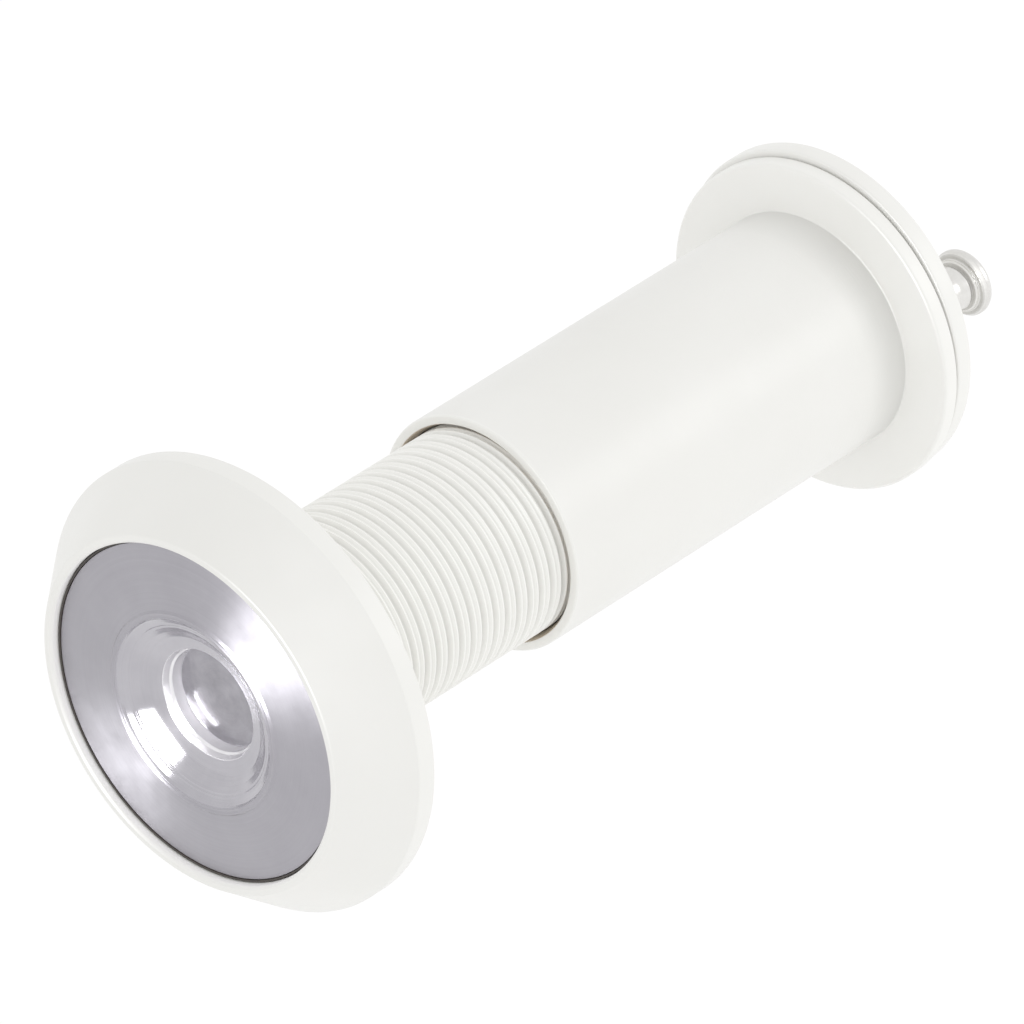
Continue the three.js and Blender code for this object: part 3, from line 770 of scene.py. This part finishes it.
def lead_in(radius, y):
    """The sleeve's thread closes in from the mouth's bore over the lead-in's length."""
    return max(radius, SLEEVE_BORE - max(y - THREAD_MOUTH, 0.0) * LEAD_IN_DEPTH / LEAD_IN_LENGTH)


def build_threads():
    mesh = thread_mesh("barrel_thread", 0.0, -0.3, BARREL_END - 0.02, CORE_RADIUS - 0.05, chamfered_end)
    make_piece(
        "barrel_thread", mesh, "barrel", "outer_barrel", PAINT_THREAD_LIGHT_AND_SHADE, THREAD_SHARP_ANGLE)
    mesh = thread_mesh("sleeve_thread", THREAD_GAP, THREAD_MOUTH, THREAD_DEEP, SLEEVE_BORE + 0.05, lead_in)
    make_piece("sleeve_thread", mesh, "sleeve", "sleeve", PAINT_SLEEVE_LIGHT_AND_SHADE, THREAD_SHARP_ANGLE)


def build_front_optics():
    turned_piece("front_seal", [
        (9.85, -4.24, 0.03), (9.96, -4.24, 0.03), (9.96, POCKET_FLOOR, 0.0), (9.85, POCKET_FLOOR, 0.0),
    ], FINE, "barrel", "front_seal_ring", RUBBER, loop=True)
    turned_piece("front_glass", [
        (0.0, -2.08),
        (2.98, -2.12, 0.06),
        (3.02, -2.80, 0.06),
        (3.14, -2.90, 0.05),
        (3.26, -3.30, 0.08),
        (4.0, -3.46, 0.9),
        (4.5, -3.78, 0.6),
        (4.84, -4.05, 0.05),
        (4.95, -4.06, 0.03),
        (5.02, -4.13, 0.03),
        (5.15, -4.14, 0.04),
        (5.45, -4.32, 0.08),
        (5.58, -4.50, 0.05),
        (5.72, -4.46, 0.04),
        (5.86, -4.52, 0.06),
        (6.0, -4.40, 0.08),
        (9.83, -4.18, 0.05),
        (9.83, -3.2, 0.05),
        (5.85, -3.2, 0.05),
        (5.85, POCKET_FLOOR, 0.05),
        (4.4, POCKET_FLOOR, 0.0),
        (3.2, -1.43, 1.5),
        (1.6, -1.52, 1.5),
        (0.0, -1.55),
    ], FINE, "barrel", "front_lens", SILVERED)
    turned_piece("reflector", [
        (5.95, -3.2, 0.05), (9.8, -3.2, 0.05), (9.8, POCKET_FLOOR, 0.0), (5.95, POCKET_FLOOR, 0.0),
    ], FINE, "barrel", "reflector_ring", MIRROR, loop=True)


def build_slotted_ring(name, inner, outer, low, high, slot_y, body, replaced, material):
    """A retaining ring with two driver slots in the face at slot_y."""
    ring = turned_piece(name, [
        (inner, low, 0.06), (outer, low, 0.06), (outer, high, 0.06), (inner, high, 0.06),
    ], MEDIUM, body, replaced, material, loop=True)
    cut(ring, [box_cutter(0.8, 0.5, inner - 0.5, outer + 0.5, slot_y, angle) for angle in (0.0, math.pi)])


def build_inner_stack():
    build_slotted_ring(
        "stack_ring", 3.9, STACK_RADIUS, -1.0, 0.5, -1.0, "barrel", "stack_retaining_ring",
        MIRROR)
    turned_piece("second_glass", [
        (0.0, 1.2), (1.3, 1.11, 2.0), (2.6, 0.87, 2.0), (3.8, 0.5, 0.05), (STACK_RADIUS, 0.5, 0.08),
        (STACK_RADIUS, 2.5, 0.08), (3.8, 2.5, 0.05), (2.6, 2.13, 2.0), (1.3, 1.89, 2.0), (0.0, 1.8),
    ], MEDIUM, "barrel", "second_lens", GLASS)
    turned_piece("stack_spacer", [
        (4.1, 2.5, 0.05), (STACK_RADIUS, 2.5, 0.05), (STACK_RADIUS, 5.5, 0.05), (4.1, 5.5, 0.05),
    ], MEDIUM, "barrel", "lens_spacer", BLACK, loop=True)
    turned_piece("third_glass", [
        (0.0, 4.9), (1.4, 4.97, 2.0), (2.8, 5.18, 2.0), (4.0, 5.5, 0.05), (STACK_RADIUS, 5.5, 0.08),
        (STACK_RADIUS, STACK_SEAT, 0.08), (4.0, STACK_SEAT, 0.05), (2.8, 8.32, 2.0), (1.4, 8.53, 2.0),
        (0.0, 8.6),
    ], MEDIUM, "barrel", "third_lens", GLASS)
    turned_piece("stray_light_tube", [
        (3.9, 8.8, 0.05), (4.3, 8.8, 0.05), (4.3, RELAY_SEAT, 0.05), (3.3, RELAY_SEAT, 0.05),
        (3.3, 27.0, 0.05), (3.9, 27.0, 0.05),
    ], MEDIUM, "barrel", "light_baffle", BLACK, loop=True)
    turned_piece("relay_glass", [
        (0.0, 28.15), (1.4, 28.08, 2.0), (2.8, 27.87, 2.0), (3.9, RELAY_SEAT, 0.05),
        (STACK_RADIUS, RELAY_SEAT, 0.08),
        (STACK_RADIUS, 29.8, 0.08), (3.9, 29.8, 0.05), (2.8, 30.07, 2.0), (1.4, 30.28, 2.0), (0.0, 30.35),
    ], MEDIUM, "barrel", "relay_lens", GLASS)
    build_slotted_ring(
        "barrel_ring", 4.0, STACK_RADIUS, 29.8, 31.2, 31.2, "barrel", "barrel_retaining_ring",
        BLACK)


# ---------------------------------------------------------------- sleeve side

def pivot_place():
    """The cover's pivot as (x, z), in millimetres."""
    return PIVOT_DISTANCE * math.cos(PIVOT_ANGLE), PIVOT_DISTANCE * math.sin(PIVOT_ANGLE)


def build_sleeve():
    profile = [
        (SLEEVE_BORE, 19.0, 0.02),
        (MOUTH_LIP, 18.88, 0.02),
        (MOUTH_LIP, 18.74, 0.03),
        (SLEEVE_BORE + 0.03, SLEEVE_MOUTH, 0.06),
        (SLEEVE_RADIUS, SLEEVE_MOUTH, 0.14),
        (SLEEVE_RADIUS, FLANGE_FRONT, 0.10),
        (FLANGE_RADIUS, FLANGE_FRONT, 0.20),
        (FLANGE_RADIUS, FLANGE_BACK, 0.10),
        (EYE_BORE, FLANGE_BACK, 0.08),
        (EYE_BORE, EYE_SEAT, 0.05),
        (4.2, EYE_SEAT, 0.05),
        (4.2, 42.4, 0.05),
        (SLEEVE_BORE, 42.4, 0.05),
    ]
    tube = turned_piece(
        "sleeve_tube", profile, FINE, "sleeve", "sleeve", PAINT_SLEEVE_LIGHT_AND_SHADE, loop=True)
    x, z = pivot_place()
    hole = round_cutter([
        (0.0, 44.0), (1.1, 44.0), (1.1, FLANGE_FRONT), (PIVOT_BORE, FLANGE_FRONT + 0.35),
        (PIVOT_BORE, 48.0), (0.0, 48.0),
    ], x, z)
    slots = [
        box_cutter(1.5, 0.5, 4.2, 8.3, FLANGE_BACK, PIVOT_ANGLE + side * math.pi / 2.0)
        for side in (-1.0, 1.0)
    ]
    cut(tube, [hole] + slots)


def build_eyepiece():
    turned_piece("eye_stop", [
        (3.5, EYE_SEAT, 0.03), (EYE_RADIUS, EYE_SEAT, 0.03), (EYE_RADIUS, 43.4, 0.03), (3.5, 43.4, 0.03),
    ], MEDIUM, "eyepiece", "eyepiece_stop", BLACK, loop=True)
    turned_piece("eye_seal", [
        (4.5, 43.4, 0.06), (EYE_RADIUS, 43.4, 0.06), (EYE_RADIUS, 43.7, 0.06), (4.5, 43.7, 0.06),
    ], MEDIUM, "eyepiece", "eyepiece_seal", RUBBER, loop=True)
    turned_piece("eye_glass", [
        (0.0, 43.45), (1.5, 43.48, 2.0), (2.9, 43.57, 2.0), (4.2, 43.7, 0.05), (EYE_RADIUS, 43.7, 0.08),
        (EYE_RADIUS, 45.17, 0.08), (4.2, 45.17, 0.05), (2.9, 45.52, 2.0), (1.5, 45.72, 2.0), (0.0, 45.8),
    ], MEDIUM, "eyepiece", "eyepiece_lens", GLASS)
    build_slotted_ring(
        "eye_ring", 4.35, 5.35, 45.2, 46.1, 46.1, "sleeve", "eyepiece_retaining_ring", BLACK)


def moved(obj, x, z, turn=0.0, offset=(0.0, 0.0)):
    """Places a mesh made about the Y axis: first by offset, then turned about the pivot at (x, z)."""
    obj.data.transform(
        Matrix.Translation((x * MM, 0.0, z * MM))
        @ Matrix.Rotation(turn, 4, "Y")
        @ Matrix.Translation((offset[0] * MM, 0.0, offset[1] * MM))
    )


def build_pivot():
    x, z = pivot_place()
    rivet = turned_piece("rivet", [
        (0.0, 45.32), (1.0, 45.32, 0.05), (0.6, 45.67, 0.05), (0.6, 47.85, 0.0), (1.5, 47.85, 0.06),
        (1.5, 48.1, 0.15), (1.1, 48.36, 0.8), (0.6, 48.54, 0.8), (0.0, 48.6),
    ], SMALL, "sleeve", "pivot_rivet", NICKEL)
    friction = turned_piece("friction_washer", [
        (PIVOT_BORE, FLANGE_BACK, 0.03), (1.6, FLANGE_BACK, 0.03),
        (1.6, COVER_FRONT, 0.03), (PIVOT_BORE, COVER_FRONT, 0.03),
    ], SMALL, "sleeve", "pivot_friction_washer", NYLON, loop=True)
    spring = turned_piece("spring_washer", [
        (PIVOT_BORE, COVER_BACK, 0.04), (1.6, COVER_BACK, 0.04),
        (1.6, 47.85, 0.04), (PIVOT_BORE, 47.85, 0.04),
    ], SMALL, "sleeve", "pivot_spring_washer", NICKEL, loop=True)
    for piece in (rivet, friction, spring):
        moved(piece, x, z)


# ---------------------------------------------------------------- privacy cover

def from_pivot(beyond_centre):
    """The place (x, z) from the pivot that lies this far beyond the closed cover's centre, in millimetres."""
    reach = PIVOT_DISTANCE + beyond_centre
    return -reach * math.cos(PIVOT_ANGLE), -reach * math.sin(PIVOT_ANGLE)


def build_cover():
    x, z = pivot_place()
    disc = turned_piece("cover_disc", [
        (0.0, COVER_FRONT), (COVER_RADIUS, COVER_FRONT, 0.15), (COVER_RADIUS, COVER_BACK, 0.22),
        (0.0, COVER_BACK),
    ], FINE, "cover", "privacy_cover", PAINT_COVER)
    moved(disc, 0.0, 0.0, 0.0, from_pivot(0.0))
    knob_x, knob_z = from_pivot(KNOB_DISTANCE)
    knob_z += KNOB_LIFT
    cut(disc, [
        round_cutter([(0.0, 45.0), (PIVOT_BORE, 45.0), (PIVOT_BORE, 49.0), (0.0, 49.0)], 0.0, 0.0),
        round_cutter([(0.0, 45.0), (0.81, 45.0), (0.81, 49.0), (0.0, 49.0)], knob_x, knob_z),
    ])
    moved(disc, x, z, -COVER_SWING)
    knob = turned_piece("knob", [
        (0.0, 46.6),
        (0.8, 46.6, 0.05),
        (0.8, COVER_BACK, 0.0),
        (1.30, COVER_BACK, 0.05),
        (1.30, 47.9, 0.1),
        (1.08, 48.25, 0.3),
        (1.10, 49.2, 0.4),
        (1.28, 49.75, 0.15),
        (1.23, 49.83, 0.02),
        (1.23, 49.92, 0.02),
        (1.43, 49.96, 0.03),
        (1.50, 50.05, 0.03),
        (1.57, 50.07, 0.02),
        (1.61, 50.15, 0.03),
        (1.76, 50.19, 0.04),
        (1.84, 50.28, 0.05),
        (1.96, 50.42, 0.08),
        (1.96, 50.62, 0.10),
        (1.88, 50.80, 0.15),
        (1.45, 51.00, 0.5),
        (0.8, 51.14, 1.0),
        (0.0, 51.18),
    ], SMALL, "cover", "cover_knob", KNOB_NICKEL)
    moved(knob, x, z, -COVER_SWING, (knob_x, knob_z))


# ---------------------------------------------------------------- studio

def build_floor():
    mesh = bpy.data.meshes.new("floor")
    corners = [
        (side_x * FLOOR_HALF, side_y * FLOOR_HALF, FLOOR_HEIGHT)
        for side_x, side_y in ((-1, -1), (1, -1), (1, 1), (-1, 1))
    ]
    mesh.from_pydata(corners, [], [(0, 1, 2, 3)])
    floor = linked("floor", mesh)
    material = bpy.data.materials.new("pale_floor")
    material.use_nodes = True
    shader = material.node_tree.nodes["Principled BSDF"]
    shader.inputs["Base Color"].default_value = (0.9, 0.9, 0.9, 1.0)
    shader.inputs["Roughness"].default_value = 0.9
    shader.inputs["Specular IOR Level"].default_value = 0.0
    shader.inputs["Emission Color"].default_value = (1.0, 1.0, 1.0, 1.0)
    shader.inputs["Emission Strength"].default_value = FLOOR_GLOW
    mesh.materials.append(material)


def area_light(name, place, size, power):
    data = bpy.data.lights.new(name, "AREA")
    data.shape = "DISK"
    data.size = size
    data.energy = power
    light = linked(name, data)
    light.location = place
    light.rotation_mode = "QUATERNION"
    light.rotation_quaternion = (Vector(LIGHT_AIM) - Vector(place)).to_track_quat("-Z", "Y")
    return light


def build_light():
    world = bpy.data.worlds.new("studio")
    bpy.context.scene.world = world
    world.use_nodes = True
    background = world.node_tree.nodes["Background"]
    background.inputs["Color"].default_value = (1.0, 1.0, 1.0, 1.0)
    background.inputs["Strength"].default_value = SKY_STRENGTH
    area_light("key_right", place=(0.46, 0.46, 0.32), size=0.35, power=0.62)
    area_light("front_bowl", place=(0.20, -0.60, 0.02), size=0.10, power=0.05)
    # Shows in gloss alone: it draws the bright wedge on the front lens
    wedge = area_light("front_wedge", place=(0.06, -0.45, 0.06), size=0.36, power=6.0)
    wedge.visible_diffuse = False
    wedge.visible_camera = False


def build_camera():
    azimuth = math.radians(CAMERA_AZIMUTH)
    elevation = math.radians(CAMERA_ELEVATION)
    back = Vector((
        math.sin(azimuth) * math.cos(elevation),
        -math.cos(azimuth) * math.cos(elevation),
        math.sin(elevation),
    ))
    data = bpy.data.cameras.new("camera")
    data.sensor_width = 36.0
    data.lens = 439.2
    data.clip_start = 0.01
    data.clip_end = 20.0
    camera = linked("camera", data)
    camera.location = Vector(CAMERA_AIM) + back * CAMERA_DISTANCE
    camera.rotation_mode = "QUATERNION"
    facing = (-back).to_track_quat("-Z", "Y").to_matrix()
    roll = Matrix.Rotation(math.radians(CAMERA_ROLL), 3, "Z")
    camera.rotation_quaternion = (facing @ roll).to_quaternion()
    bpy.context.scene.camera = camera


build_bezel()
build_threads()
build_front_optics()
build_inner_stack()
build_sleeve()
build_eyepiece()
build_pivot()
build_cover()
build_floor()
build_light()
build_camera()
bpy.context.scene.view_settings.view_transform = "Standard"

bpy.context.view_layer.update()
